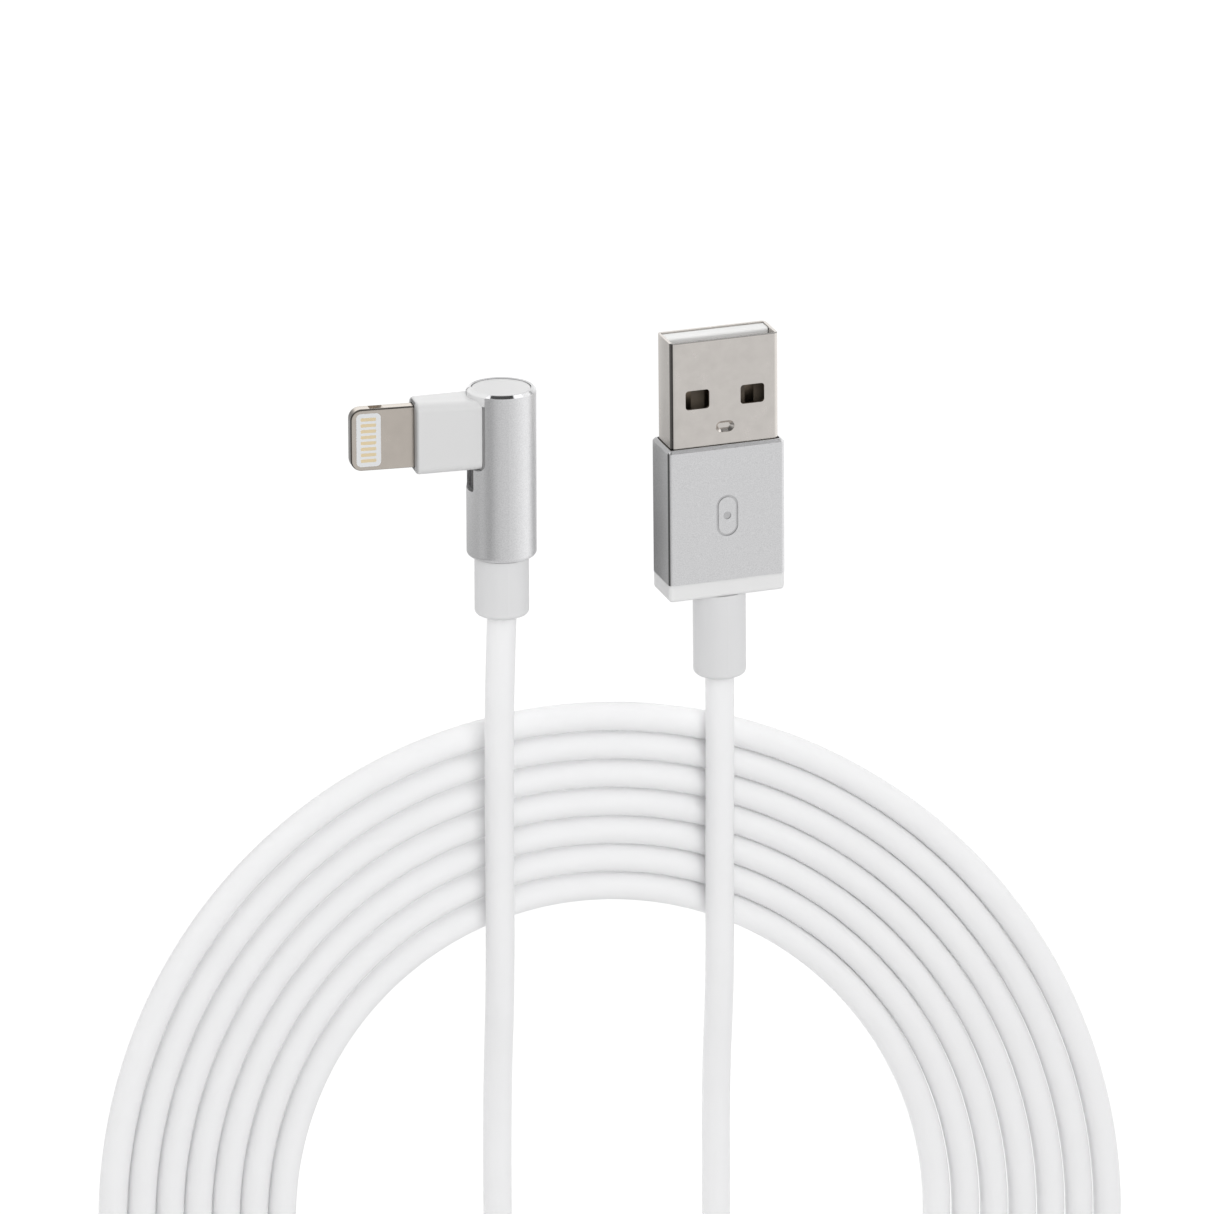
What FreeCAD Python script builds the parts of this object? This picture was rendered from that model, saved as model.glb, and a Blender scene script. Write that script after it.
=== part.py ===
import FreeCAD, Part
import math
import os

# Charging cable: a USB-A plug and a right-angle 8-contact reversible phone plug, joined by one
# round cable whose spare length lies in a flat oval coil.
# Millimetres, +Z up. The cable lies on the plane z = 0. The origin is the centre of the two
# plugs' footprint. +Y points the way the USB plug does, and the phone plug's tongue points to -X.
#
# Each plug is drawn in its own frame and then set down on the plane:
#   USB plug:   origin at the centre of the mouth, +Y out of the mouth, +Z through the marked face
#   phone plug: origin at the centre of the barrel's top, +Y out of the top, tongue along -X

Vector = FreeCAD.Vector

# ---- cable ---------------------------------------------------------------------------------
CABLE_D = 3.1
CABLE_R = CABLE_D / 2
WIRE_D = 0.7
BUNDLE = 0.52                 # offset of each wire from the cable's axis where they enter it
WIRE_NAMES = ("red", "white", "green", "black")
SOLDER_R, SOLDER_LIFT = 0.62, 0.25

# ---- how the two plugs lie -------------------------------------------------------------------
USB_PLACE = (17.11, 19.05)      # x, y of the USB plug's mouth
USB_TILT = 3.1                # degrees, rear end up, where the cable climbs on to the coil
PHONE_PLACE = (-7.27, 16.38)   # x, y of the barrel's top
PHONE_TILT = 4.6
PHONE_ROLL = 4.9              # degrees about the barrel's axis, tongue towards the table
PHONE_YAW = -1.15             # degrees about +Z

# ---- USB-A plug ------------------------------------------------------------------------------
SHELL_W, SHELL_T, SHELL_WALL, SHELL_R = 12.0, 4.5, 0.3, 0.5
SHELL_SHOWN = 11.69           # length of shell in front of the sleeve
SHELL_END = -18.8
WINDOW_X, WINDOW_Y, WINDOW_W, WINDOW_L = 3.06, -6.4, 2.65, 2.1
DIMPLE_Y, DIMPLE_W, DIMPLE_L, DIMPLE_DEPTH, DIMPLE_SLOPE = -9.70, 2.05, 1.25, 0.44, 0.36
TONGUE_W, BLOCK_W = 11.3, 11.3
INSULATOR_TOP = -0.1          # upper face of the tongue
INSULATOR_MOUTH = -0.12       # how far the tongue's end stands back from the mouth
BLOCK_FRONT, BLOCK_END = -10.9, -18.6
USB_CONTACTS = (("power", -3.5, -1.3), ("data_minus", -1.0, -2.3),
                ("data_plus", 1.0, -2.3), ("ground", 3.5, -1.3))
USB_CONTACT_W, USB_CONTACT_T, USB_TAIL_END = 1.0, 0.3, -20.6
CAN_FRONT, CAN_END = -18.9, -26.4
SLEEVE_W, SLEEVE_T, SLEEVE_R, SLEEVE_WALL, SLEEVE_CHAMFER = 13.0, 5.6, 0.4, 0.4, 0.32
SLEEVE_L = 15.04
SLEEVE_END = -SHELL_SHOWN - SLEEVE_L
MARK_Y, MARK_W, MARK_L, MARK_LINE, MARK_DEPTH = -19.5, 2.4, 4.6, 0.24, 0.08
CAP_L, CAP_EDGE = 1.95, 0.75
CAP_END = SLEEVE_END - CAP_L
USB_RELIEF_R, USB_RELIEF_END = 2.83, -38.15
RELIEF_EDGE = 0.48
USB_JACKET_TOP = -24.2

# ---- phone plug ------------------------------------------------------------------------------
BARREL_R, BARREL_BORE, BARREL_L = 3.69, 3.15, 18.32
BARREL_LIP_R, BARREL_LIP_L, BARREL_CHAMFER, BARREL_EDGE = 2.88, 1.0, 0.28, 0.45
WINDOW_HALF, WINDOW_END = 2.82, -8.42         # opening in the barrel's wall that the arm fills
WINDOW_TOP, OPEN_BACK = -0.66, -0.7           # its top on the back half; in front it is open upwards
BAND_R, BAND_L, BAND_BEVEL = 3.6, 1.3, 0.3    # white band that fills the open part of the rim
RELEASE_HALF, RELEASE_END, RELEASE_CORNER = 1.55, -10.9, 0.35     # narrow slot below the arm
LINER_WALL, LINER_TOP = 0.35, -8.5
ARM_TOP, ARM_END, ARM_ROOT = -0.77, -9.47, -2.6
ARM_END_LOW, ARM_ROOT_LOW = -8.56, -8.27      # the arm's lower side, at its end and at the barrel
ARM_END_HALF, ARM_ROOT_HALF = 1.95, 2.5       # and its half thickness
ARM_EDGE = 0.85
INSERT_R, INSERT_TOP, INSERT_LOW = 3.1, -0.08, -8.4
TONGUE_Y = -4.59
TONGUE_TIP, TONGUE_REAR, TONGUE_H, TONGUE_T = -16.2, -8.4, 6.7, 1.5
TONGUE_CORNER, TONGUE_EDGE = 1.2, 0.22
CARRIER_X0, CARRIER_X1, CARRIER_HALF, CARRIER_CORNER = -15.6, -13.0, 2.88, 0.5
PIN_X0, PIN_X1, PIN_H, PIN_PITCH, PIN_T, PIN_COUNT = -15.15, -13.5, 0.36, 0.64, 0.25, 8
NOTCH_X, NOTCH_R, NOTCH_DEPTH, NOTCH_HALF_T = -13.4, 1.0, 0.33, 0.5
BOARD_X0, BOARD_X1, BOARD_HALF_H, BOARD_HALF_T = -15.35, -4.2, 2.8, 0.3
PHONE_JACKET_TOP = -14.5
PHONE_RELIEF_R, PHONE_RELIEF_END = 2.875, -24.87
RELIEF_GROOVE = 0.2

# ---- coil ------------------------------------------------------------------------------------
COIL_CENTRE = (7.5, -85.0)
COIL_TURN = 122.0             # degrees from +X to the oval's long axis
COIL_OUTER = (67.2, 57.0)     # half axes of the whole coil's outline
COIL_HOLE = (40.4, 33.9)      # half axes of the hole
COIL_EDGE = 1.3

# Centre line of the cable from each plug: over the coil, down to the table inside the hole, and
# on to the turn that it belongs to. The first point is the plug's strain relief.
PHONE_ROUTE = (
    (-7.768, -8.405, 5.673), (-7.90, -14.98, 6.20), (-8.30, -23.5, 6.10), (-7.75, -36.0, 4.95),
    (-7.66, -52.4, 4.80),
    (-7.15, -65.0, 1.80), (-6.95, -79.5, 1.57), (-6.6, -93.5, 1.56), (-4.6, -107.0, 1.56),
    (2.2, -118.6, 1.56), (14.0, -124.4, 1.56), (26.5, -121.0, 1.56),
)
USB_ROUTE = (
    (17.11, -19.044, 4.31), (17.11, -27.9, 4.79), (17.2, -41.4, 4.84), (17.45, -55.4, 4.80),
    (18.15, -68.9, 1.82), (18.5, -84.0, 1.57), (18.55, -98.0, 1.60), (18.3, -109.8, 2.3),
    (17.9, -121.2, 4.86), (14.2, -132.2, 4.82), (6.2, -138.9, 4.82), (-4.3, -141.6, 4.80),
    (-15.2, -139.4, 4.30), (-24.8, -132.9, 2.4), (-32.9, -124.1, 1.56),
)


# ---- shapes ----------------------------------------------------------------------------------
def block(x0, x1, y0, y1, z0, z1):
    return Part.makeBox(x1 - x0, y1 - y0, z1 - z0, Vector(x0, y0, z0))


def rod(radius, y_top, y_end, x=0.0, z=0.0):
    """Cylinder along Y between two heights."""
    return Part.makeCylinder(radius, y_top - y_end, Vector(x, y_end, z), Vector(0, 1, 0))


def ring(outer, inner, y_top, y_end):
    return rod(outer, y_top, y_end).cut(rod(inner, y_top + 1, y_end - 1))


def edges_where(shape, wanted):
    """Edges whose centre and direction the test accepts."""
    found = []
    for edge in shape.Edges:
        middle = edge.valueAt((edge.FirstParameter + edge.LastParameter) / 2)
        box = edge.BoundBox
        if wanted(middle, (box.XLength, box.YLength, box.ZLength)):
            found.append(edge)
    return found


def along(size, axis):
    """True for a straight edge that runs along one axis (0, 1 or 2)."""
    others = [size[i] for i in range(3) if i != axis]
    return size[axis] > 1e-3 and max(others) < 1e-4


def bar(width, thickness, corner, y_top, y_end):
    """Rounded rectangle in XZ, drawn out along Y."""
    solid = block(-width / 2, width / 2, y_end, y_top, -thickness / 2, thickness / 2)
    return solid.makeFillet(corner, edges_where(solid, lambda p, s: along(s, 1)))


def plate(x0, x1, y0, y1, corner, z0, z1):
    """Rounded rectangle in XY, drawn out along Z."""
    solid = block(x0, x1, y0, y1, z0, z1)
    return solid.makeFillet(corner, edges_where(solid, lambda p, s: along(s, 2)))


def pill(width, length, y_mid, z0, z1):
    """Plate with fully rounded ends, centred on x = 0."""
    corner = min(width, length) / 2 * 0.999
    return plate(-width / 2, width / 2, y_mid - length / 2, y_mid + length / 2, corner, z0, z1)


def tube(points, diameter, name=""):
    """Round tube along straight runs joined by tangent arcs, each arc as large as its runs allow."""
    points = [Vector(*p) for p in points]
    edges, start, radii, length = [], points[0], [], 0.0
    for before, corner, after in zip(points, points[1:], points[2:]):
        inward, outward = corner - before, after - corner
        reach = 0.45 * min(inward.Length, outward.Length)
        turn = inward.getAngle(outward)
        inward.normalize()
        outward.normalize()
        radius = reach / math.tan(turn / 2)
        first, last = corner - inward * reach, corner + outward * reach
        towards = outward - inward
        towards.normalize()
        middle = corner + towards * (radius / math.cos(turn / 2) - radius)
        edges.append(Part.LineSegment(start, first).toShape())
        edges.append(Part.Arc(first, middle, last).toShape())
        radii.append(radius)
        start = last
    edges.append(Part.LineSegment(start, points[-1]).toShape())
    path = Part.Wire(edges)
    ahead = points[1] - points[0]
    section = Part.Wire([Part.makeCircle(diameter / 2, points[0], ahead)])
    solid = path.makePipeShell([section], True, False)
    if name:
        ideal = math.pi * diameter ** 2 / 4 * path.Length
        print(f"{name}: length {path.Length:.1f} mm, smallest radius {min(radii):.1f} mm, "
              f"volume / (section x length) {solid.Volume / ideal:.4f}, valid {solid.isValid()}")
    return solid


def cut_all(solid, tools):
    for tool in tools:
        solid = solid.cut(tool)
    return solid


def one_solid(shape):
    """The largest solid of a result that holds just one piece."""
    solids = sorted(shape.Solids, key=lambda s: s.Volume)
    return solids[-1]


# ---- USB plug --------------------------------------------------------------------------------
def dimple(bottom, top):
    """Oval bowl with sloping sides between two heights."""
    bowl = pill(DIMPLE_W, DIMPLE_L, DIMPLE_Y, bottom, top)
    return bowl.makeChamfer(DIMPLE_SLOPE, edges_where(bowl, lambda p, s: abs(p.z - bottom) < 1e-3))


def usb_shell():
    inner_w, inner_t = SHELL_W - 2 * SHELL_WALL, SHELL_T - 2 * SHELL_WALL
    shell = bar(SHELL_W, SHELL_T, SHELL_R, 0, SHELL_END)
    shell = shell.cut(bar(inner_w, inner_t, SHELL_R - SHELL_WALL, 1, SHELL_END - 1))
    for side in (-1, 1):
        x = side * WINDOW_X
        shell = shell.cut(plate(x - WINDOW_W / 2, x + WINDOW_W / 2, WINDOW_Y - WINDOW_L / 2,
                                WINDOW_Y + WINDOW_L / 2, 0.35, -SHELL_T, SHELL_T))
    face = SHELL_T / 2
    boss = dimple(face - DIMPLE_DEPTH - 0.2, face - 0.2)
    shell = shell.fuse(boss).cut(dimple(face - DIMPLE_DEPTH, face))
    seam = block(-0.05, 0.05, SHELL_END - 1, 1, -face - 1, -face + 0.12)
    return one_solid(shell.cut(seam).removeSplitter())


def usb_tongue():
    floor = -SHELL_T / 2 + SHELL_WALL
    tongue = block(-TONGUE_W / 2, TONGUE_W / 2, BLOCK_FRONT, INSULATOR_MOUTH, floor, INSULATOR_TOP)
    low = edges_where(tongue, lambda p, s: along(s, 1) and p.z < floor + 0.01)
    tongue = tongue.makeChamfer(0.2, low)
    lip = edges_where(tongue, lambda p, s: along(s, 0) and p.y > BLOCK_FRONT / 2)
    tongue = tongue.makeFillet(0.25, lip)
    rear = bar(BLOCK_W, SHELL_T - 2 * SHELL_WALL - 0.02, SHELL_R - SHELL_WALL, BLOCK_FRONT, BLOCK_END)
    return one_solid(tongue.fuse(rear).cut(Part.makeCompound(usb_contacts())))


def usb_contacts():
    strips = []
    for _, x, front in USB_CONTACTS:
        half = USB_CONTACT_W / 2
        strips.append(block(x - half, x + half, USB_TAIL_END, front,
                            INSULATOR_TOP - USB_CONTACT_T, INSULATOR_TOP))
    return strips


def usb_wires():
    """Four wires from the contacts' tails, drawn together into the cable."""
    ends = ((-BUNDLE, BUNDLE), (-BUNDLE, -BUNDLE), (BUNDLE, -BUNDLE), (BUNDLE, BUNDLE))
    z = INSULATOR_TOP + WIRE_D / 2 + 0.01
    wires = []
    for (_, x, _), (end_x, end_z) in zip(USB_CONTACTS, ends):
        wires.append(tube(((x, -19.3, z), (x, -21.2, z), (end_x, -23.1, end_z),
                           (end_x, USB_JACKET_TOP, end_z)), WIRE_D))
    return wires


def solder_domes(places, normal_z, wires):
    """Drops of solder on a flat at normal_z, each round its wire."""
    domes = []
    for (x, y), wire in zip(places, wires):
        ball = Part.makeSphere(SOLDER_R, Vector(x, y, normal_z + SOLDER_LIFT))
        below = block(x - 2, x + 2, y - 2, y + 2, normal_z - 2, normal_z)
        domes.append(ball.cut(below).cut(wire))
    return Part.makeCompound([piece for dome in domes for piece in dome.Solids])


def usb_can_half(side):
    """Half of the folded screen over the wire ends; side is 1 for the upper half, -1 for the lower."""
    can = bar(SHELL_W, SHELL_T, SHELL_R, CAN_FRONT, CAN_END)
    hollow = bar(SHELL_W - 2 * SHELL_WALL, SHELL_T - 2 * SHELL_WALL, SHELL_R - SHELL_WALL,
                 CAN_FRONT + 1, CAN_END + SHELL_WALL)
    can = can.cut(hollow).cut(rod(CABLE_R + 0.02, CAN_FRONT, CAN_END - 1))
    other = block(-10, 10, -40, 0, -10, 0.01) if side > 0 else block(-10, 10, -40, 0, -0.01, 10)
    return one_solid(can.cut(other))


def usb_sleeve():
    sleeve = bar(SLEEVE_W, SLEEVE_T, SLEEVE_R, -SHELL_SHOWN, SLEEVE_END)
    rim = edges_where(sleeve, lambda p, s: abs(p.y + SHELL_SHOWN) < 1e-3)
    sleeve = sleeve.makeChamfer(SLEEVE_CHAMFER, rim)
    sleeve = sleeve.cut(bar(SLEEVE_W - 2 * SLEEVE_WALL, SLEEVE_T - 2 * SLEEVE_WALL, 0.3,
                            -SHELL_SHOWN + 1, SLEEVE_END - 1))
    face = SLEEVE_T / 2
    outline = pill(MARK_W, MARK_L, MARK_Y, face - MARK_DEPTH, face + 1)
    hollow = pill(MARK_W - 2 * MARK_LINE, MARK_L - 2 * MARK_LINE, MARK_Y, face - 1, face + 1)
    outline = outline.cut(hollow)
    dot = Part.makeCylinder(0.42, 1, Vector(0, MARK_Y, face - MARK_DEPTH))
    return one_solid(sleeve.cut(outline).cut(dot))


def usb_base_cap():
    cap = bar(SLEEVE_W - 0.06, SLEEVE_T - 0.06, SLEEVE_R, SLEEVE_END, CAP_END)
    rim = edges_where(cap, lambda p, s: abs(p.y - CAP_END) < 1e-3)
    cap = cap.makeFillet(CAP_EDGE * 0.6, rim)
    spigot = bar(SLEEVE_W - 2 * SLEEVE_WALL, SLEEVE_T - 2 * SLEEVE_WALL, 0.3,
                 SLEEVE_END + 0.3, SLEEVE_END)
    return one_solid(cap.fuse(spigot).cut(rod(2.2, SLEEVE_END + 2, CAP_END - 1)))


def usb_strain_relief():
    relief = rod(USB_RELIEF_R, CAP_END, USB_RELIEF_END)
    end = edges_where(relief, lambda p, s: abs(p.y - USB_RELIEF_END) < 1e-3)
    relief = relief.makeFillet(RELIEF_EDGE, end).fuse(rod(2.2, SLEEVE_END + 0.25, CAP_END))
    return one_solid(relief.cut(rod(CABLE_R, 0, USB_RELIEF_END - 1)))


def usb_inner_mould(inside):
    mould = bar(BLOCK_W, 3.8, 0.3, BLOCK_END - 0.1, CAN_END + SHELL_WALL)
    return one_solid(cut_all(mould, inside))


def usb_plug():
    """Every piece of the USB plug, by name, in the plug's own frame."""
    pieces = {"usb_shell": usb_shell(), "usb_tongue": usb_tongue()}
    contacts, wires = usb_contacts(), usb_wires()
    for (name, _, _), strip in zip(USB_CONTACTS, contacts):
        pieces[f"usb_contact_{name}"] = strip
    for name, wire in zip(WIRE_NAMES, wires):
        pieces[f"usb_wire_{name}"] = wire
    places = [(x, -19.95) for _, x, _ in USB_CONTACTS]
    pieces["usb_solder_joints"] = solder_domes(places, INSULATOR_TOP, wires)
    pieces["usb_screen_upper"] = usb_can_half(1)
    pieces["usb_screen_lower"] = usb_can_half(-1)
    pieces["usb_jacket_end"] = rod(CABLE_R, USB_JACKET_TOP, USB_RELIEF_END)
    pieces["usb_crimp_ring"] = ring(1.9, CABLE_R, USB_JACKET_TOP - 0.3, USB_JACKET_TOP - 1.7)
    inside = contacts + wires
    inside += [pieces[name] for name in ("usb_solder_joints", "usb_jacket_end", "usb_crimp_ring")]
    pieces["usb_inner_mould"] = usb_inner_mould(inside)
    pieces["usb_sleeve"] = usb_sleeve()
    pieces["usb_base_cap"] = usb_base_cap()
    pieces["usb_strain_relief"] = usb_strain_relief()
    return pieces


# ---- phone plug ------------------------------------------------------------------------------
def tongue_frame():
    half = TONGUE_H / 2
    frame = block(TONGUE_TIP, TONGUE_REAR, TONGUE_Y - half, TONGUE_Y + half,
                  -TONGUE_T / 2, TONGUE_T / 2)
    tip = edges_where(frame, lambda p, s: along(s, 2) and p.x < TONGUE_TIP + 0.1)
    frame = frame.makeFillet(TONGUE_CORNER, tip)
    rims = edges_where(frame, lambda p, s: abs(abs(p.z) - TONGUE_T / 2) < 1e-3
                       and p.x < TONGUE_REAR - 0.1)
    frame = frame.makeFillet(TONGUE_EDGE, rims)
    frame = frame.cut(plate(CARRIER_X0, CARRIER_X1, TONGUE_Y - CARRIER_HALF, TONGUE_Y + CARRIER_HALF,
                            CARRIER_CORNER, -2, 2))
    slot = BOARD_HALF_H + 0.05
    frame = frame.cut(block(BOARD_X0 - 0.05, 0, TONGUE_Y - slot, TONGUE_Y + slot, -0.35, 0.35))
    for side in (-1, 1):
        y = TONGUE_Y + side * (half + NOTCH_R - NOTCH_DEPTH)
        frame = frame.cut(Part.makeCylinder(NOTCH_R, 2 * NOTCH_HALF_T, Vector(NOTCH_X, y, -NOTCH_HALF_T)))
    return one_solid(frame)


def contact_pins(side):
    """The row of eight flat contacts on one face of the tongue; side is 1 or -1."""
    outer, inner = TONGUE_T / 2, TONGUE_T / 2 - PIN_T
    z0, z1 = (inner, outer) if side > 0 else (-outer, -inner)
    pins = []
    for index in range(PIN_COUNT):
        y = TONGUE_Y + (index - (PIN_COUNT - 1) / 2) * PIN_PITCH
        pins.append(plate(PIN_X0, PIN_X1, y - PIN_H / 2, y + PIN_H / 2, 0.12, z0, z1))
    return pins


def contact_carrier(side, pins):
    z0, z1 = (BOARD_HALF_T, TONGUE_T / 2) if side > 0 else (-TONGUE_T / 2, -BOARD_HALF_T)
    carrier = plate(CARRIER_X0, CARRIER_X1, TONGUE_Y - CARRIER_HALF, TONGUE_Y + CARRIER_HALF,
                    CARRIER_CORNER, z0, z1)
    return one_solid(cut_all(carrier, pins))


def board_parts():
    """Board, control chip and the small capacitors on it."""
    board = block(BOARD_X0, BOARD_X1, TONGUE_Y - BOARD_HALF_H, TONGUE_Y + BOARD_HALF_H,
                  -BOARD_HALF_T, BOARD_HALF_T)
    chip = block(-8.1, -6.1, TONGUE_Y - 1.2, TONGUE_Y + 1.2, BOARD_HALF_T, 0.9)
    capacitors = [block(-7.9, -6.9, TONGUE_Y + y, TONGUE_Y + y + 0.5, -0.8, -BOARD_HALF_T)
                  for y in (-2.0, -0.25, 1.5)]
    return board, chip, Part.makeCompound(capacitors)


def phone_wires():
    """Four wires that leave the board side by side, turn down the barrel and enter the cable."""
    z = BOARD_HALF_T + WIRE_D / 2 + 0.01
    rows = ((-2.1, -2.35), (-0.7, -1.35), (0.7, -0.2), (2.1, 1.1))
    ends = ((-BUNDLE, BUNDLE), (-BUNDLE, -BUNDLE), (BUNDLE, -BUNDLE), (BUNDLE, BUNDLE))
    wires = []
    for (row, x), (end_x, end_z) in zip(rows, ends):
        y = TONGUE_Y + row
        wires.append(tube(((-5.2, y, z), (x, y, z), (x, -8.4, z), (end_x, -12.6, end_z),
                           (end_x, PHONE_JACKET_TOP, end_z)), WIRE_D))
    return wires


def arm_outline(x, low, half):
    """Rounded rectangle across the arm at x."""
    corners = [Vector(x, low, -half), Vector(x, ARM_TOP, -half), Vector(x, ARM_TOP, half),
               Vector(x, low, half)]
    edges, starts = [], []
    for before, corner, after in zip(corners[-1:] + corners, corners, corners[1:] + corners[:1]):
        back, on = (before - corner).normalize(), (after - corner).normalize()
        first, last = corner + back * ARM_EDGE, corner + on * ARM_EDGE
        middle = corner + (back + on) * (ARM_EDGE * (1 - math.sqrt(0.5)))
        edges.append(Part.Arc(first, middle, last).toShape())
        starts.append((first, last))
    for (_, last), (first, _) in zip(starts, starts[1:] + starts[:1]):
        edges.append(Part.LineSegment(last, first).toShape())
    return Part.Wire(Part.__sortEdges__(edges))


def head_moulding(inside):
    """White one-piece head: the arm that holds the tongue, and the insert whose top shows as a disc."""
    arm = Part.makeLoft([arm_outline(ARM_END, ARM_END_LOW, ARM_END_HALF),
                         arm_outline(ARM_ROOT, ARM_ROOT_LOW, ARM_ROOT_HALF)], True, True)
    arm = arm.makeFillet(0.4, edges_where(arm, lambda p, s: abs(p.x - ARM_END) < 1e-3))
    insert = rod(INSERT_R, INSERT_TOP, INSERT_LOW)
    insert = insert.makeFillet(0.06, edges_where(insert, lambda p, s: abs(p.y - INSERT_TOP) < 1e-3))
    band = rod(BAND_R, 0, -BAND_L)
    band = band.makeChamfer(BAND_BEVEL, edges_where(band, lambda p, s: abs(p.y) < 1e-3))
    band = band.common(block(-5, 0, -BAND_L, 0, OPEN_BACK + 0.03, WINDOW_HALF - 0.03))
    band = band.cut(rod(INSERT_R - 0.05, 1, INSERT_TOP))
    half = TONGUE_H / 2 + 0.1
    mouth = block(ARM_END - 1, ARM_END + 0.6, TONGUE_Y - half, TONGUE_Y + half,
                  -TONGUE_T / 2 - 0.1, TONGUE_T / 2 + 0.1)
    head = arm.fuse(insert).fuse(band).removeSplitter()
    return one_solid(cut_all(head, [mouth] + inside))


def barrel():
    body = rod(BARREL_R, 0, -BARREL_L)
    body = body.makeFillet(BARREL_EDGE, edges_where(body, lambda p, s: abs(p.y + BARREL_L) < 1e-3))
    body = body.makeChamfer(BARREL_CHAMFER, edges_where(body, lambda p, s: abs(p.y) < 1e-3))
    body = body.cut(rod(BARREL_BORE, 1, -BARREL_L + BARREL_LIP_L))
    body = body.cut(rod(BARREL_LIP_R, 1, -BARREL_L - 1))
    window = block(-5, 0, WINDOW_END, WINDOW_TOP, -WINDOW_HALF, WINDOW_HALF)
    window = window.makeFillet(ARM_EDGE, edges_where(window, lambda p, s: along(s, 0)))
    narrow = block(-5, 0, RELEASE_END, -4, -RELEASE_HALF, RELEASE_HALF)
    narrow = narrow.makeFillet(RELEASE_CORNER,
                               edges_where(narrow, lambda p, s: along(s, 0) and p.y < RELEASE_END + 0.1))
    rim = block(-5, 0, WINDOW_TOP - 1, 1, OPEN_BACK, WINDOW_HALF)
    return one_solid(cut_all(body, [window, rim, narrow]))


def barrel_liner():
    return ring(BARREL_BORE, BARREL_BORE - LINER_WALL, LINER_TOP, -BARREL_L + BARREL_LIP_L)


def phone_strain_relief():
    relief = rod(PHONE_RELIEF_R, -BARREL_L - RELIEF_GROOVE, PHONE_RELIEF_END)
    end = edges_where(relief, lambda p, s: abs(p.y - PHONE_RELIEF_END) < 1e-3)
    relief = relief.makeFillet(RELIEF_EDGE, end)
    neck = rod(2.7, -BARREL_L + BARREL_LIP_L + 0.7, -BARREL_L - RELIEF_GROOVE)
    return one_solid(relief.fuse(neck).cut(rod(CABLE_R, 0, PHONE_RELIEF_END - 1)))


def phone_plug():
    """Every piece of the phone plug, by name, in the plug's own frame."""
    board, chip, capacitors = board_parts()
    wires = phone_wires()
    pads = [(-5.0, TONGUE_Y + row) for row in (-2.1, -0.7, 0.7, 2.1)]
    solder = solder_domes(pads, BOARD_HALF_T, wires)
    pieces = {"tongue_frame": tongue_frame(), "tongue_board": board, "control_chip": chip,
              "board_capacitors": capacitors, "phone_solder_joints": solder}
    for name, side in (("front", 1), ("back", -1)):
        pins = contact_pins(side)
        pieces[f"contact_carrier_{name}"] = contact_carrier(side, pins)
        for index, pin in enumerate(pins, 1):
            pieces[f"contact_{name}_{index}"] = pin
    for name, wire in zip(WIRE_NAMES, wires):
        pieces[f"phone_wire_{name}"] = wire
    filling = block(-8.3, -3.9, TONGUE_Y - 3.05, TONGUE_Y + 3.05, -1.6, 1.6)
    pieces["phone_inner_mould"] = one_solid(cut_all(filling, [board, chip, capacitors, solder] + wires))
    slot = block(TONGUE_REAR - 3, -8.2, TONGUE_Y - TONGUE_H / 2, TONGUE_Y + TONGUE_H / 2,
                 -TONGUE_T / 2, TONGUE_T / 2)
    hidden = [filling, slot, pieces["tongue_frame"], board]
    pieces["head_moulding"] = head_moulding(hidden + wires)
    pieces["barrel"] = barrel()
    pieces["barrel_liner"] = barrel_liner()
    pieces["phone_jacket_end"] = rod(CABLE_R, PHONE_JACKET_TOP, PHONE_RELIEF_END)
    pieces["phone_crimp_ring"] = ring(2.0, CABLE_R, PHONE_JACKET_TOP - 0.3, PHONE_JACKET_TOP - 1.6)
    pieces["phone_strain_relief"] = phone_strain_relief()
    return pieces


# ---- the cable's own solids ------------------------------------------------------------------
def coil_outline(half_axes):
    ellipse = Part.Ellipse(Vector(0, 0, 0), half_axes[0], half_axes[1]).toShape()
    return Part.Wire([ellipse])


def cord_coil(tails):
    """Flat oval ring, one cable thick, with room for the two tails that run into its turns."""
    coil = Part.Face(coil_outline(COIL_OUTER)).extrude(Vector(0, 0, CABLE_D))
    coil = coil.makeFillet(COIL_EDGE, edges_where(coil, lambda p, s: s[2] < 1e-3))
    coil = coil.cut(Part.Face(coil_outline(COIL_HOLE)).extrude(Vector(0, 0, CABLE_D)))
    coil.rotate(Vector(0, 0, 0), Vector(0, 0, 1), COIL_TURN)
    coil.translate(Vector(COIL_CENTRE[0], COIL_CENTRE[1], 0))
    return one_solid(cut_all(coil, tails))


# ---- the whole part --------------------------------------------------------------------------
def set_down(pieces, place, lift, tilt, roll=0.0, yaw=0.0):
    """Puts a plug's pieces on the plane: rolled about its axis, rear end up, mouth or top at place."""
    turn = FreeCAD.Rotation(Vector(1, 0, 0), -tilt).multiply(FreeCAD.Rotation(Vector(0, 1, 0), -roll))
    turn = FreeCAD.Rotation(Vector(0, 0, 1), yaw).multiply(turn)
    where = FreeCAD.Placement(Vector(place[0], place[1], lift), turn)
    placed = {}
    for name, shape in pieces.items():
        moved = shape.copy()
        moved.transformShape(where.toMatrix(), True)
        placed[name] = moved
    return placed


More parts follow.
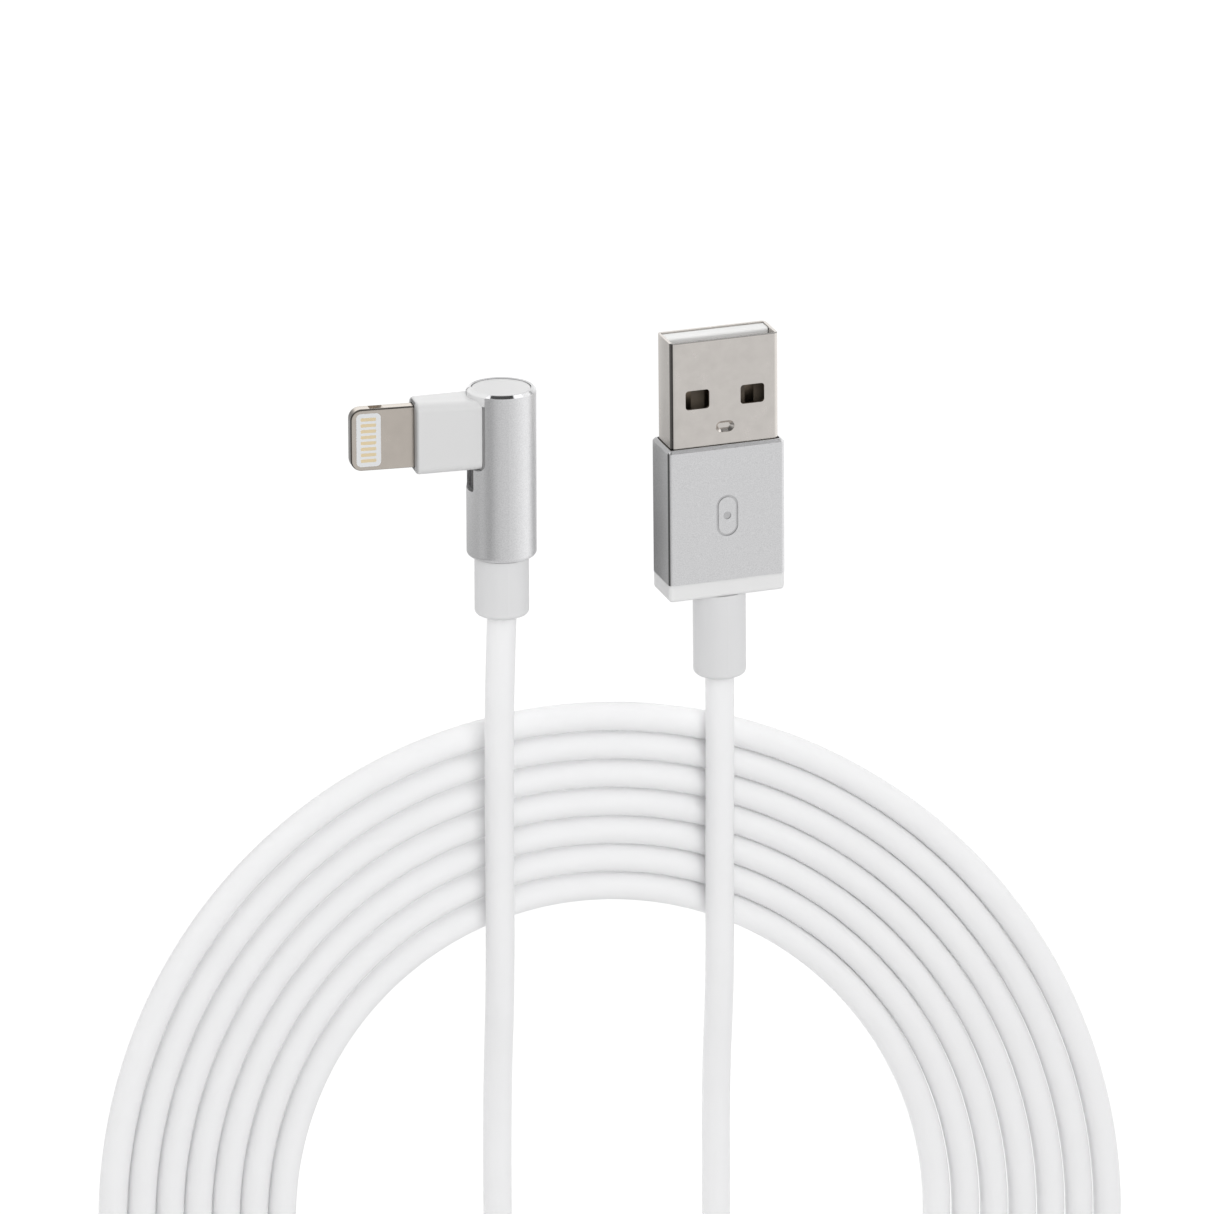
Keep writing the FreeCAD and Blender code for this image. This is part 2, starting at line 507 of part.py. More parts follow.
def build():
    usb_lift = SHELL_T / 2 * math.cos(math.radians(USB_TILT))
    phone_lift = BARREL_R * math.cos(math.radians(PHONE_TILT))
    nodes = set_down(usb_plug(), USB_PLACE, usb_lift, USB_TILT)
    nodes.update(set_down(phone_plug(), PHONE_PLACE, phone_lift, PHONE_TILT,
                          PHONE_ROLL, PHONE_YAW))
    plugs = Part.makeCompound(list(nodes.values())).BoundBox
    print(f"plugs: centre {plugs.Center.x:.3f} {plugs.Center.y:.3f}, lowest {plugs.ZMin:.4f}, "
          f"size {plugs.XLength:.2f} x {plugs.YLength:.2f} x {plugs.ZLength:.2f}")
    nodes["cord_tail_phone"] = tube(PHONE_ROUTE, CABLE_D, "phone tail")
    nodes["cord_tail_usb"] = tube(USB_ROUTE, CABLE_D, "usb tail")
    nodes["cord_coil"] = cord_coil([nodes["cord_tail_phone"], nodes["cord_tail_usb"]])
    return nodes


os.makedirs("parts", exist_ok=True)
for node, shape in build().items():
    if not shape.isValid():
        print("not valid:", node)
    shape.exportStep(f"parts/{node}.step")
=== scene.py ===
import bpy
import math
from mathutils import Matrix, Vector


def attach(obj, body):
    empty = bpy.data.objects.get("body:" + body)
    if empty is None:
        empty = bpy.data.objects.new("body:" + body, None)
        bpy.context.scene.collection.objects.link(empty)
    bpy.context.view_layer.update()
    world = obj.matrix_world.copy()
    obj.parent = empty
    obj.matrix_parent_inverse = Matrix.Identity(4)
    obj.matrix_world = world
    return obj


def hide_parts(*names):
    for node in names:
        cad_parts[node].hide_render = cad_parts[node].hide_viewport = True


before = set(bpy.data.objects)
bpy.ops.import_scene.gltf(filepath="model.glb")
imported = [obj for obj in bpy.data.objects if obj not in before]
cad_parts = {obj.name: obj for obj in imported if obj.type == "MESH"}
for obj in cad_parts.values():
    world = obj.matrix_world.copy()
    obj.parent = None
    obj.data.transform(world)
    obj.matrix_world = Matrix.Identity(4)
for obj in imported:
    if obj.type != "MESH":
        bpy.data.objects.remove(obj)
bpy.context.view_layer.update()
MM = 0.001
FOCAL_PIXELS, FRAME_PIXELS, SENSOR_MM = 8000, 1214, 36
CAMERA_PLACE = (-243.25, 325.31, 742.62)
CAMERA_TILT, CAMERA_SWING, CAMERA_ROLL = 23.29, 18.54, 0.413      # degrees


# ---- camera ----------------------------------------------------------------------------------
def make_camera():
    """Camera high above, to the left of the plugs and past their mouths."""
    tilt, swing, roll = (math.radians(turn) for turn in (CAMERA_TILT, CAMERA_SWING, CAMERA_ROLL))
    back = Vector((-math.sin(swing) * math.cos(tilt), math.sin(tilt),
                   math.cos(swing) * math.cos(tilt)))
    level = Vector((0, 1, 0)).cross(back).normalized()
    upright = back.cross(level)
    right = math.cos(roll) * level + math.sin(roll) * upright
    up = math.cos(roll) * upright - math.sin(roll) * level
    data = bpy.data.cameras.new("camera")
    data.sensor_width, data.lens = SENSOR_MM, SENSOR_MM * FOCAL_PIXELS / FRAME_PIXELS
    data.clip_start, data.clip_end = 0.05, 50
    camera = bpy.data.objects.new("camera", data)
    axes = Matrix((right, up, back)).transposed().to_4x4()
    camera.matrix_world = Matrix.Translation(Vector(CAMERA_PLACE) * MM) @ axes
    bpy.context.scene.collection.objects.link(camera)
    bpy.context.scene.camera = camera


# ---- cord ------------------------------------------------------------------------------------
CABLE_D = 3.1
PHONE_ROUTE = (
    (-7.768, -8.405, 5.673), (-8.13, -14.98, 6.18), (-8.20, -23.5, 6.10), (-7.75, -36.0, 4.95),
    (-7.58, -52.4, 4.80), (-6.95, -65.0, 1.80), (-6.90, -79.5, 1.57), (-6.6, -93.5, 1.56),
    (-4.6, -107.0, 1.56), (2.2, -118.6, 1.56), (14.0, -124.4, 1.56),
)
USB_ROUTE = (
    (17.11, -19.044, 4.31), (17.11, -27.9, 4.79), (17.2, -41.4, 4.84), (17.45, -55.4, 4.80),
    (18.15, -68.9, 1.82), (18.5, -84.0, 1.57), (18.55, -98.0, 1.60), (18.3, -109.8, 2.3),
    (17.9, -121.2, 4.86), (14.2, -132.2, 4.82), (6.2, -138.9, 4.82), (-4.3, -141.6, 4.80),
    (-15.2, -139.4, 4.30), (-24.8, -132.9, 2.4),
)
FIRST_TURN, LAST_TURN, PER_TURN = -63, 2381, 36      # degrees, degrees, points in a turn
COIL_AXIS = math.radians(121.8)
LONG_HALF, SHORT_HALF = (42.8, 22.3), (36.1, 18.65)      # mm at share 0, and what share 1 adds
CENTRE_X, CENTRE_Y = (7.43, 0.87), (-84.68, -1.24)       # the same
SHARE_START, SHARE_SPAN = 90, 2160                       # degrees
FLOOR_GAP = 0.01                                         # mm


def coil_point(degrees):
    """Point of the coil's centre line; it winds outwards, and the oval's centre drifts a little.
    grow makes up for the spline cutting inside its points."""
    share = (degrees - SHARE_START) / SHARE_SPAN
    grow = 1 + math.pi ** 2 / (2 * PER_TURN ** 2)
    long_half = (LONG_HALF[0] + LONG_HALF[1] * share) * grow
    short_half = (SHORT_HALF[0] + SHORT_HALF[1] * share) * grow
    centre = Vector((CENTRE_X[0] + CENTRE_X[1] * share, CENTRE_Y[0] + CENTRE_Y[1] * share, 0))
    angle = math.radians(degrees) - COIL_AXIS
    along, across = long_half * math.cos(angle), short_half * math.sin(angle)
    turn = Matrix.Rotation(COIL_AXIS, 3, "Z")
    return centre + turn @ Vector((along, across, 0)) + Vector((0, 0, CABLE_D / 2 + FLOOR_GAP))


def make_cord():
    """The whole cable as one spline, from the phone plug round the coil to the USB plug."""
    points = [Vector(p) for p in PHONE_ROUTE]
    steps = round((LAST_TURN - FIRST_TURN) / 360 * PER_TURN)
    for i in range(steps + 1):
        points.append(coil_point(FIRST_TURN + (LAST_TURN - FIRST_TURN) * i / steps))
    points += [Vector(p) for p in reversed(USB_ROUTE)]
    curve = bpy.data.curves.new("cord", "CURVE")
    curve.dimensions = "3D"
    curve.bevel_depth, curve.bevel_resolution = CABLE_D / 2 * MM, 7
    curve.resolution_u = 8
    spline = curve.splines.new("NURBS")
    spline.points.add(len(points) - 1)
    for point, place in zip(spline.points, points):
        point.co = (*(place * MM), 1)
    spline.order_u = 3
    spline.use_endpoint_u = True
    cord = bpy.data.objects.new("cord", curve)
    bpy.context.scene.collection.objects.link(cord)
    return cord


# ---- materials -------------------------------------------------------------------------------
def placing(place, lift, tilt, roll, yaw):
    """Where a plug's own frame lies, in mm and degrees: origin at its mouth or top, +Y out of it,
    +Z its upper face."""
    turn = Matrix.Rotation(math.radians(-tilt), 4, "X")
    turn = turn @ Matrix.Rotation(math.radians(-roll), 4, "Y")
    turn = Matrix.Rotation(math.radians(yaw), 4, "Z") @ turn
    return Matrix.Translation((place[0] * MM, place[1] * MM, lift * MM)) @ turn


USB_FRAME = placing((17.11, 19.05), 2.2467, 3.1, 0.0, 0.0)
PHONE_FRAME = placing((-7.27, 16.38), 3.6781, 4.6, 4.9, -1.15)
# Places in the plugs' own frames, in mm
MARK_CENTRE = 19.5                                  # how far it lies behind the mouth
MARK_STRAIGHT, MARK_RADIUS = 1.1, 1.08              # half its straight sides' length; its ends
MARK_LINE, MARK_DOT = (0.10, 0.15), (0.40, 0.45)    # half widths between which its shade fades
SLEEVE_FACE = (2.5, 2.6)
# painted dark reflection: the left upper corners of the sleeve and the shell are darkened left of x
# and above z
SLEEVE_DARK_REFLECTION, SHELL_DARK_REFLECTION = (-6.37, 2.42), (-5.74, 1.80)
# painted shade: a dark line along the front lip of the shell's mouth
SHELL_LIP, SHELL_LIP_HEIGHT = (-0.05, -0.02), (1.88, 1.92)
# painted dark reflection on the tongue's rounded edge between these heights, and on its tip side
TONGUE_RIM_REFLECTION, TONGUE_TIP_REFLECTION = (0.50, 0.71), (-16.0, -15.6)
# painted light and shade on the head: the disc lighter than the arm, the arm's tongue end and mouth
# darker
DISC_EDGE, ARM_END_SHADE, ARM_MOUTH = (-0.9, -0.2), (-9.40, -9.15), (-9.36, -9.30)
ARM_MOUTH_HALF = (0.95, 1.0)
INSULATOR_SHADE = (-5.4, -1.2)
BARREL_RIM = -0.29


def new_material(name, colour, rough, metal=0.0):
    """A material, its node tree and its shader."""
    made = bpy.data.materials.new(name)
    made.use_nodes = True
    shader = made.node_tree.nodes["Principled BSDF"]
    shader.inputs["Base Color"].default_value = (*colour, 1)
    shader.inputs["Roughness"].default_value = rough
    shader.inputs["Metallic"].default_value = metal
    return made, made.node_tree, shader


def noise(tree, size, detail=2.0, rough=0.5, stretch=(1, 1, 1)):
    """Noise with features of about that size in millimetres."""
    coords = tree.nodes.new("ShaderNodeTexCoord")
    place = tree.nodes.new("ShaderNodeMapping")
    place.inputs["Scale"].default_value = stretch
    texture = tree.nodes.new("ShaderNodeTexNoise")
    texture.inputs["Scale"].default_value = 1 / (size * MM)
    texture.inputs["Detail"].default_value = detail
    texture.inputs["Roughness"].default_value = rough
    tree.links.new(coords.outputs["Object"], place.inputs["Vector"])
    tree.links.new(place.outputs["Vector"], texture.inputs["Vector"])
    return texture.outputs["Fac"]


def local(tree, where, axis):
    """Distance in millimetres along one axis of a plug's frame."""
    coords = tree.nodes.new("ShaderNodeTexCoord")
    shift = tree.nodes.new("ShaderNodeVectorMath")
    shift.operation = "SUBTRACT"
    shift.inputs[1].default_value = where.to_translation()
    dot = tree.nodes.new("ShaderNodeVectorMath")
    dot.operation = "DOT_PRODUCT"
    dot.inputs[1].default_value = where.col[axis].to_3d() / MM
    tree.links.new(coords.outputs["Object"], shift.inputs[0])
    tree.links.new(shift.outputs["Vector"], dot.inputs[0])
    return dot.outputs["Value"]


def spread(tree, value, low, high, start=0.3, end=0.7):
    """Maps start and end to low and high."""
    node = tree.nodes.new("ShaderNodeMapRange")
    for key, number in (("From Min", start), ("From Max", end), ("To Min", low), ("To Max", high)):
        node.inputs[key].default_value = number
    tree.links.new(value, node.inputs["Value"])
    return node.outputs["Result"]


def maths(tree, kind, first, second=0):
    """A Math node's result; first and second are numbers or other nodes' outputs."""
    node = tree.nodes.new("ShaderNodeMath")
    node.operation = kind
    for socket, value in zip(node.inputs, (first, second)):
        if isinstance(value, (int, float)):
            socket.default_value = value
        else:
            tree.links.new(value, socket)
    return node.outputs[0]


def bumps(tree, shader, height, strength, distance):
    """Relief of that depth in millimetres."""
    node = tree.nodes.new("ShaderNodeBump")
    node.inputs["Strength"].default_value = strength
    node.inputs["Distance"].default_value = distance * MM
    tree.links.new(height, node.inputs["Height"])
    tree.links.new(node.outputs["Normal"], shader.inputs["Normal"])


def ramp_of(tree, value, places, tones):
    """Colour that a value carries through two or more tones."""
    ramp = tree.nodes.new("ShaderNodeValToRGB")
    marks = ramp.color_ramp.elements
    while len(marks) < len(tones):
        marks.new(0.5)
    for mark, place in zip(marks, places):
        mark.position = place
    for mark, tone in zip(marks, tones):
        mark.color = (*tone, 1)
    tree.links.new(value, ramp.inputs["Fac"])
    return ramp.outputs["Color"]


def tint(tree, shader, value, tones, places=(0.3, 0.7)):
    """Makes such a colour the base colour."""
    tree.links.new(ramp_of(tree, value, places, tones), shader.inputs["Base Color"])


def shades(colour, tone):
    """The colour a share darker and a share lighter."""
    return [[c * (1 - tone) for c in colour], [min(1, c * (1 + tone)) for c in colour]]


def surface(name, colour, rough, metal=0.0, grain=0.05, depth=0.004, tone=0.02, wander=0.05,
            stretch=(1, 1, 1), patch=3.0):
    """Colour and roughness that wander a little, and a fine grain; sizes in millimetres."""
    made, tree, shader = new_material(name, colour, rough, metal)
    broad = noise(tree, patch, 3)
    tint(tree, shader, broad, shades(colour, tone))
    tree.links.new(spread(tree, broad, rough - wander, rough + wander), shader.inputs["Roughness"])
    bumps(tree, shader, noise(tree, grain, 2, stretch=stretch), 0.5, depth)
    return made


def plastic(name, colour, rough, soft=0.4, grain=0.08, depth=0.002, reach=0.7):
    """White moulding: light enters it a little way, and its skin has a faint texture."""
    made, tree, shader = new_material(name, colour, rough)
    broad = noise(tree, 5.0, 3)
    tint(tree, shader, broad, shades(colour, 0.006))
    tree.links.new(spread(tree, broad, rough - 0.04, rough + 0.04), shader.inputs["Roughness"])
    bumps(tree, shader, noise(tree, grain, 3), 0.4, depth)
    shader.inputs["Subsurface Weight"].default_value = soft
    shader.inputs["Subsurface Radius"].default_value = (1, 1, 1)
    shader.inputs["Subsurface Scale"].default_value = reach * MM
    return made


def etched(tree, where):
    """1 in the lines of the sleeve's mark, a pill outline with a dot in it, and 0 outside them."""
    x, y = local(tree, where, 0), maths(tree, "ADD", local(tree, where, 1), MARK_CENTRE)
    square = maths(tree, "MULTIPLY", x, x)
    past = maths(tree, "SUBTRACT", maths(tree, "ABSOLUTE", y), MARK_STRAIGHT)
    past = maths(tree, "MAXIMUM", past, 0)
    out = maths(tree, "SQRT", maths(tree, "ADD", square, maths(tree, "MULTIPLY", past, past)))
    out = maths(tree, "ABSOLUTE", maths(tree, "SUBTRACT", out, MARK_RADIUS))
    line = spread(tree, out, 1, 0, *MARK_LINE)
    out = maths(tree, "SQRT", maths(tree, "ADD", square, maths(tree, "MULTIPLY", y, y)))
    both = maths(tree, "MAXIMUM", line, spread(tree, out, 1, 0, *MARK_DOT))
    return maths(tree, "MULTIPLY", both, spread(tree, local(tree, where, 2), 0, 1, *SLEEVE_FACE))


def corner(tree, where, x, z):
    """1 on the plug's left upper corner, left of x and above z, and 0 elsewhere; it places a painted
    dark reflection.
    """
    left = spread(tree, local(tree, where, 0), 1, 0, x - 0.02, x + 0.02)
    upper = spread(tree, local(tree, where, 2), 0, 1, z - 0.03, z + 0.03)
    return maths(tree, "MULTIPLY", left, upper)


def darken(tree, shader, value, least):
    """Scales the base colour down to least where value is 1."""
    ink = tree.nodes.new("ShaderNodeVectorMath")
    ink.operation = "SCALE"
    tree.links.new(shader.inputs["Base Color"].links[0].from_socket, ink.inputs[0])
    tree.links.new(spread(tree, value, 1.0, least, 0, 1), ink.inputs["Scale"])
    tree.links.new(ink.outputs[0], shader.inputs["Base Color"])


def blasted(name, where, rim=None, mark_and_dark_reflection=False):
    """Bead-blasted aluminium with a fine sparkling grain. In front of rim along the plug it is
    polished; the mark flag adds the sleeve's etched mark and a painted dark reflection, a dark line
    along its left upper corner."""
    made, tree, shader = new_material(name, (0.74, 0.74, 0.745), 0.4, 1.0)
    grain = noise(tree, 0.11, 3, 0.7)
    tint(tree, shader, grain, [(0.66, 0.66, 0.665), (0.80, 0.80, 0.805)], (0.35, 0.65))
    if mark_and_dark_reflection:
        darken(tree, shader, etched(tree, where), 0.78)
        # painted dark reflection along the sleeve's left upper corner
        darken(tree, shader, corner(tree, where, *SLEEVE_DARK_REFLECTION), 0.15)
    plain = 1.0
    if rim is not None:
        plain = spread(tree, local(tree, where, 1), 1.0, 0.0, rim - 0.02, rim + 0.02)
    rough = spread(tree, noise(tree, 0.25, 2), 0.30, 0.40)
    rough = maths(tree, "ADD", maths(tree, "MULTIPLY", rough, plain), 0.06)
    tree.links.new(rough, shader.inputs["Roughness"])
    bumps(tree, shader, maths(tree, "MULTIPLY", grain, plain), 0.6, 0.010)
    return made


def nickel(name, where, colour, rough, drawn=0.35, painted_corner_and_lip=None, rim=None):
    """Satin nickel plate with faint drawing lines along the plug and small cloudy marks. The shell's
    corner and lip argument adds a painted dark reflection along its left upper corner and painted
    shade along the front lip of its mouth; rim gives the heights between which the tongue's edge,
    and its tip side, are painted dark as a painted dark reflection."""
    made, tree, shader = new_material(name, colour, rough, 1.0)
    cloud = noise(tree, 1.6, 4, 0.6)
    tint(tree, shader, cloud, shades(colour, 0.035))
    if painted_corner_and_lip:
        # painted dark reflection along the shell's left upper corner
        darken(tree, shader, corner(tree, where, *painted_corner_and_lip), 0.16)
        # painted shade along the front lip of the shell's mouth
        lip = maths(tree, "MULTIPLY", spread(tree, local(tree, where, 1), 0, 1, *SHELL_LIP),
                    spread(tree, local(tree, where, 2), 0, 1, *SHELL_LIP_HEIGHT))
        darken(tree, shader, lip, 0.30)
    if rim:
        height = local(tree, where, 2)
        # painted dark reflection on the tongue's rounded edge
        edge = maths(tree, "MULTIPLY", spread(tree, height, 0, 1, rim[0], rim[0] + 0.03),
                     spread(tree, height, 1, 0, rim[1] - 0.03, rim[1]))
        darken(tree, shader, edge, 0.22)
        # painted dark reflection on the tongue's tip side
        tip = maths(tree, "MULTIPLY", spread(tree, local(tree, where, 0), 1, 0, *TONGUE_TIP_REFLECTION),
                    spread(tree, height, 1, 0, rim[1], rim[1] + 0.02))
        darken(tree, shader, tip, 0.30)
    lines = noise(tree, 0.10, 2, stretch=(1, 0.06, 1))
    tree.links.new(spread(tree, cloud, rough - 0.05, rough + 0.06), shader.inputs["Roughness"])
    bumps(tree, shader, lines, drawn, 0.003)
    return made


def head_plastic(name, where):
    """The head's white, with painted light and shade: the disc at the top painted lightest, the arm
    a little darker, and its tongue end and the mouth round the tongue painted dark as shade.
    """
    made, tree, shader = new_material(name, (0.8, 0.8, 0.8), 0.32)
    # painted light: the disc at the top lighter than the arm below it
    tint(tree, shader, spread(tree, local(tree, where, 1), 0.0, 1.0, *DISC_EDGE),
         [(0.715, 0.715, 0.715), (0.80, 0.80, 0.80)], (0.0, 1.0))
    # painted shade on the arm's end beside the tongue
    darken(tree, shader, spread(tree, local(tree, where, 0), 1, 0, *ARM_END_SHADE), 0.60)
    # painted shade: a dark line in the mouth round the tongue
    mouth = spread(tree, maths(tree, "ABSOLUTE", local(tree, where, 2)), 1, 0, *ARM_MOUTH_HALF)
    mouth = maths(tree, "MULTIPLY", mouth, spread(tree, local(tree, where, 0), 1, 0, *ARM_MOUTH))
    darken(tree, shader, mouth, 0.18)
    tree.links.new(spread(tree, noise(tree, 5.0, 3), 0.28, 0.36), shader.inputs["Roughness"])
    bumps(tree, shader, noise(tree, 0.08, 3), 0.4, 0.002)
    shader.inputs["Subsurface Weight"].default_value = 0.3
    shader.inputs["Subsurface Radius"].default_value = (1, 1, 1)
    shader.inputs["Subsurface Scale"].default_value = 0.2 * MM
    return made


def tongue_plastic():
    """Pale at the mouth and shaded brown further in, where little light reaches."""
    made, tree, shader = new_material("usb_insulator", (0.9, 0.89, 0.87), 0.4)
    depth = spread(tree, local(tree, USB_FRAME, 1), 0.0, 1.0, *INSULATOR_SHADE)
    tint(tree, shader, depth, [(0.11, 0.09, 0.07), (0.18, 0.15, 0.12), (0.90, 0.90, 0.89)],
         (0.0, 0.35, 0.8))
    rough = spread(tree, noise(tree, 0.8, 2), 0.34, 0.46)
    tree.links.new(rough, shader.inputs["Roughness"])
    bumps(tree, shader, noise(tree, 0.08, 2), 0.4, 0.003)
    return made


# ---- floor and light -------------------------------------------------------------------------
COOL = 1.005            # blue over red and green in what metal reflects
FLOOR_ACROSS = (
    (0.0, 0.50), (0.20, 0.50), (0.24, 0.55), (0.42, 0.60), (0.50, 0.90), (0.58, 0.60),
    (0.60, 0.20), (0.63, 0.22), (0.645, 0.95))
FLOOR_BESIDE = ((0.0, 0.0), (0.1, 1.0), (0.8, 1.0), (1.0, 0.0))
SKY_ACROSS = (
    (0.0, 0.75), (0.045, 0.72), (0.075, 0.26), (0.135, 0.22), (0.170, 0.62), (0.30, 0.76),
    (0.57, 0.78), (0.65, 0.80), (0.80, 1.00), (0.90, 1.05), (0.95, 1.30))
SKY_AHEAD = ((0.0, 0.25), (0.30, 0.10), (0.68, 0.08), (0.71, 1.5), (0.90, 1.5), (0.94, 0.1))
FLOOR_HALF, FLOOR_DROP = 6.0, 0.0001      # metres
LAMP_AIM = (0, -0.04, 0)                  # metres


def greys(tree, value, stops):
    """Grey that a value carries through stops of place and level."""
    places = [place for place, _ in stops]
    return ramp_of(tree, value, places, [(level, level, level * COOL) for _, level in stops])


def metal_sees(tree, usual, mirrored, surface):
    """Gives the surface its usual closure, and glossy rays the mirrored one."""
    seen = tree.nodes.new("ShaderNodeLightPath")
    choose = tree.nodes.new("ShaderNodeMixShader")
    tree.links.new(seen.outputs["Is Glossy Ray"], choose.inputs[0])
    tree.links.new(usual.outputs[0], choose.inputs[1])
    tree.links.new(mirrored.outputs[0], choose.inputs[2])
    tree.links.new(choose.outputs[0], surface)


def make_floor():
    """A white floor. Metal sees greys in it that differ by place, in metres from the origin."""
    mesh = bpy.data.meshes.new("floor")
    half = FLOOR_HALF
    mesh.from_pydata([(-half, -half, 0), (half, -half, 0), (half, half, 0), (-half, half, 0)], [],
                     [(0, 1, 2, 3)])
    floor = bpy.data.objects.new("floor", mesh)
    floor.location.z = -FLOOR_DROP
    bpy.context.scene.collection.objects.link(floor)
    made, tree, shader = new_material("floor", (0.10, 0.10, 0.10), 0.9)
    shader.inputs["Emission Color"].default_value = (1, 1, 1, 1)
    shader.inputs["Emission Strength"].default_value = 0.97
    shader.inputs["Specular IOR Level"].default_value = 0.0
    mirrored = tree.nodes.new("ShaderNodeEmission")
    coords = tree.nodes.new("ShaderNodeTexCoord")
    split = tree.nodes.new("ShaderNodeSeparateXYZ")
    tree.links.new(coords.outputs["Object"], split.inputs[0])
    across = greys(tree, spread(tree, split.outputs["X"], 0, 1, -0.040, 0.040), FLOOR_ACROSS)
    beside = spread(tree, split.outputs["Y"], 0.0, 0.20, 0.0060, 0.0066)
    inside = greys(tree, spread(tree, split.outputs["X"], 0, 1, 0.0080, 0.0112), FLOOR_BESIDE)
    level = maths(tree, "ADD", across, maths(tree, "MULTIPLY", beside, inside))
    level = maths(tree, "ADD", level, spread(tree, split.outputs["Y"], 0.0, 0.2, -0.004, 0.012))
    ahead = spread(tree, split.outputs["Y"], 0.0, 0.7, 0.0155, 0.0160)
    ahead = maths(tree, "MULTIPLY", ahead, spread(tree, split.outputs["X"], 1, 0, -0.0100, -0.0090))
    level = maths(tree, "ADD", level, ahead)
    tree.links.new(level, mirrored.inputs["Strength"])
    metal_sees(tree, shader, mirrored, tree.nodes["Material Output"].inputs["Surface"])
    mesh.materials.append(made)


def make_world():
    """An even tent of light; metal sees it as bands from dark on the left to bright on the right."""
    world = bpy.data.worlds.new("studio")
    bpy.context.scene.world = world
    world.use_nodes = True
    tree = world.node_tree
    coords = tree.nodes.new("ShaderNodeTexCoord")
    split = tree.nodes.new("ShaderNodeSeparateXYZ")
    tree.links.new(coords.outputs["Generated"], split.inputs[0])
    across = spread(tree, split.outputs["X"], 0, 1, -1, 1)
    over, front = greys(tree, across, SKY_ACROSS), greys(tree, across, SKY_AHEAD)
    mix = tree.nodes.new("ShaderNodeMix")
    mix.data_type = "RGBA"
    tree.links.new(spread(tree, split.outputs["Y"], 0, 1, 0.35, 0.6), mix.inputs["Factor"])
    tree.links.new(over, mix.inputs["A"])
    tree.links.new(front, mix.inputs["B"])
    even = tree.nodes["Background"]
    even.inputs["Color"].default_value = (1, 1, 1, 1)
    seen = tree.nodes.new("ShaderNodeLightPath")
    strength = spread(tree, seen.outputs["Is Camera Ray"], 0.55, 1.0, 0, 1)
    tree.links.new(strength, even.inputs["Strength"])
    bands = tree.nodes.new("ShaderNodeBackground")
    tree.links.new(mix.outputs["Result"], bands.inputs["Color"])
    metal_sees(tree, even, bands, tree.nodes["World Output"].inputs["Surface"])


def make_light(name, place, size, power):
    """A soft square light that metal doesn't mirror, in metres and watts."""
    data = bpy.data.lights.new(name, "AREA")
    data.shape, data.size, data.energy = "SQUARE", size, power
    light = bpy.data.objects.new(name, data)
    light.location = place
    light.rotation_mode = "QUATERNION"
    light.rotation_quaternion = (Vector(LAMP_AIM) - Vector(place)).to_track_quat("-Z", "Y")
    light.visible_glossy = False
    bpy.context.scene.collection.objects.link(light)


make_camera()
cord = make_cord()
make_floor()
make_world()
make_light("key", (-0.04, 0.40, 1.0), 0.7, 5.8)
bpy.context.scene.view_settings.view_transform = "Standard"

white = plastic("white_moulding", (0.80, 0.80, 0.80), 0.30)
relief_white = plastic("white_relief", (0.745, 0.745, 0.75), 0.5)
head_white = head_plastic("white_head", PHONE_FRAME)
jacket = plastic("cord_jacket", (0.87, 0.87, 0.875), 0.5, 0.9, reach=1.5)
barrel_alloy = blasted("barrel_aluminium", PHONE_FRAME, BARREL_RIM)
sleeve_alloy = blasted("sleeve_aluminium", USB_FRAME, mark_and_dark_reflection=True)
shell_steel = nickel("shell_steel", USB_FRAME, (0.67, 0.635, 0.60), 0.22, painted_corner_and_lip=SHELL_DARK_REFLECTION)
tongue_steel = nickel("tongue_steel", PHONE_FRAME, (0.58, 0.53, 0.475), 0.22, 0.1, rim=TONGUE_RIM_REFLECTION)
plain_steel = surface("plain_steel", (0.55, 0.56, 0.57), 0.3, 1.0)
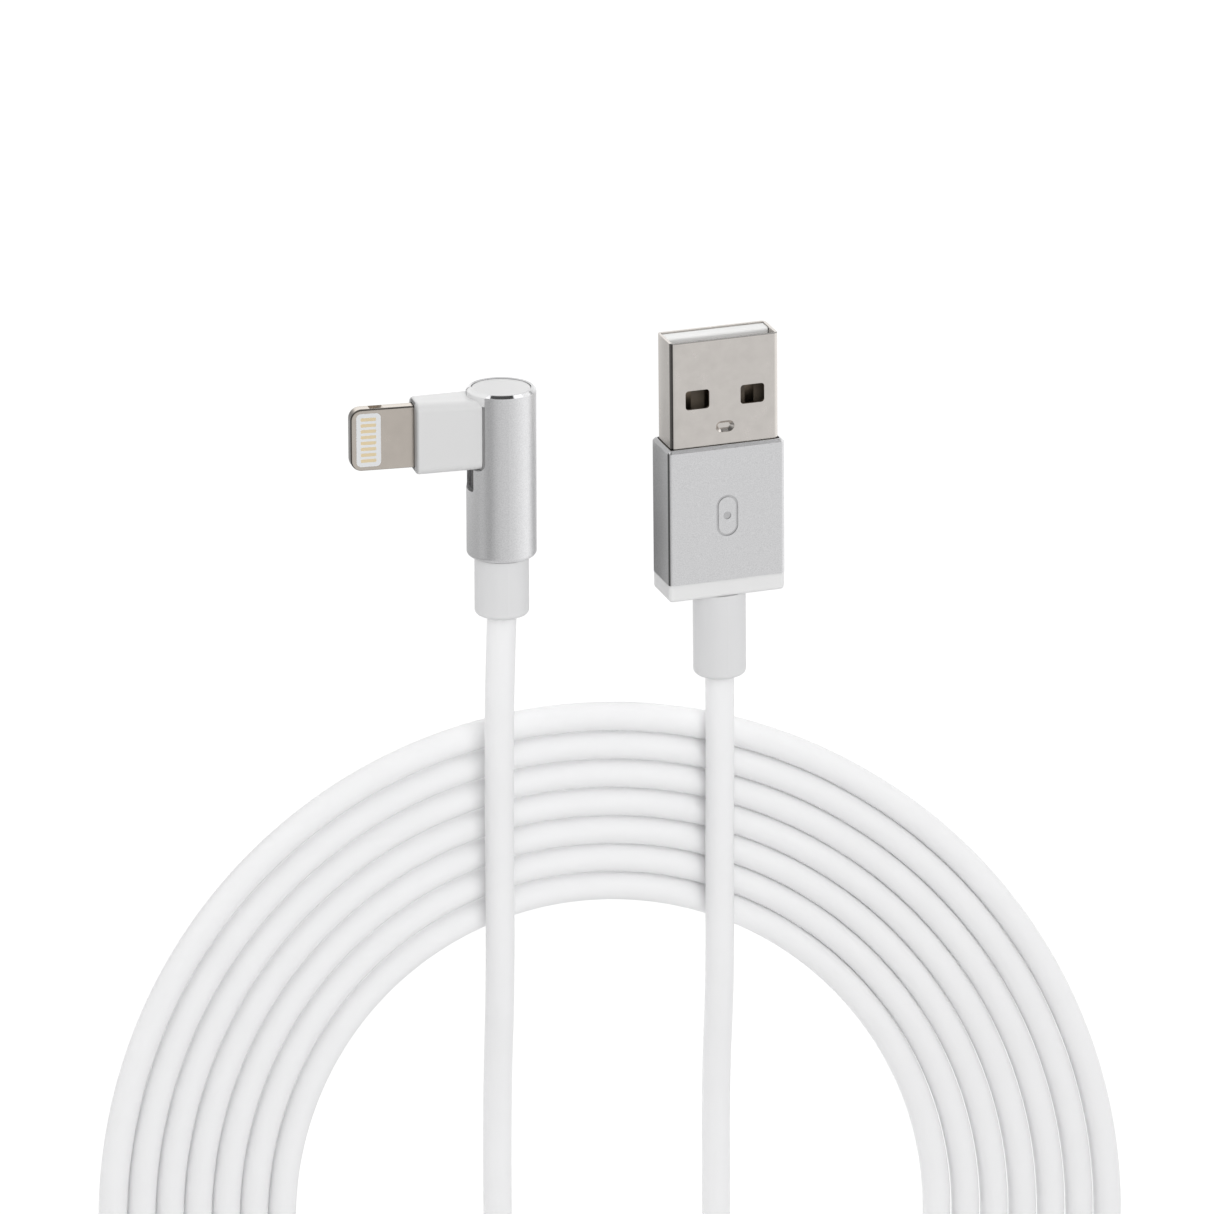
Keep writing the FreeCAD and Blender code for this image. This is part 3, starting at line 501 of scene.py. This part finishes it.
# the barrel's steel liner, coloured near-black as painted shade in the slot below the arm
liner_painted_shade = surface("liner_steel_painted_shade", (0.07, 0.07, 0.072), 0.45, 1.0)
gold = surface("gold", (0.90, 0.75, 0.49), 0.28, 1.0)
cream = tongue_plastic()
# the USB contacts, metal coloured dark brown as painted shade under the shell's windows
contact_painted_shade = surface("contact_painted_shade", (0.18, 0.145, 0.11), 0.35, 1.0)
carrier_white = surface("carrier", (0.73, 0.74, 0.75), 0.3)
board_green = surface("board", (0.03, 0.12, 0.05), 0.4)
chip_black = surface("chip", (0.02, 0.02, 0.02), 0.5)
ceramic = surface("ceramic", (0.30, 0.20, 0.12), 0.5)
solder = surface("solder", (0.70, 0.71, 0.72), 0.2, 1.0)
glue = surface("inner_mould", (0.75, 0.75, 0.70), 0.45)
wires = {name: surface(f"wire_{name}", colour, 0.4) for name, colour in (
    ("red", (0.55, 0.02, 0.02)), ("white", (0.8, 0.8, 0.78)), ("green", (0.02, 0.25, 0.06)),
    ("black", (0.015, 0.015, 0.015)))}

dress = {
    "usb_shell": shell_steel, "usb_tongue": cream, "usb_solder_joints": solder,
    "usb_screen_upper": plain_steel, "usb_screen_lower": plain_steel, "usb_inner_mould": glue,
    "usb_jacket_end": jacket, "usb_crimp_ring": plain_steel, "usb_sleeve": sleeve_alloy,
    "usb_base_cap": white, "usb_strain_relief": relief_white, "tongue_frame": tongue_steel,
    "contact_carrier_front": carrier_white, "contact_carrier_back": carrier_white,
    "tongue_board": board_green, "control_chip": chip_black, "board_capacitors": ceramic,
    "phone_solder_joints": solder, "phone_inner_mould": glue, "head_moulding": head_white,
    "barrel": barrel_alloy, "barrel_liner": liner_painted_shade, "phone_jacket_end": jacket,
    "phone_crimp_ring": plain_steel, "phone_strain_relief": relief_white,
}
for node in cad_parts:
    if node.startswith(("contact_front", "contact_back")):
        dress[node] = gold
    if node.startswith("usb_contact"):
        dress[node] = contact_painted_shade
    if "_wire_" in node:
        dress[node] = wires[node.split("_")[-1]]
for node, made in dress.items():
    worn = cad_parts[node].data.materials
    worn.clear()
    worn.append(made)

cord.data.materials.append(jacket)
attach(cord, "root")
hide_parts("cord_tail_phone", "cord_tail_usb", "cord_coil")
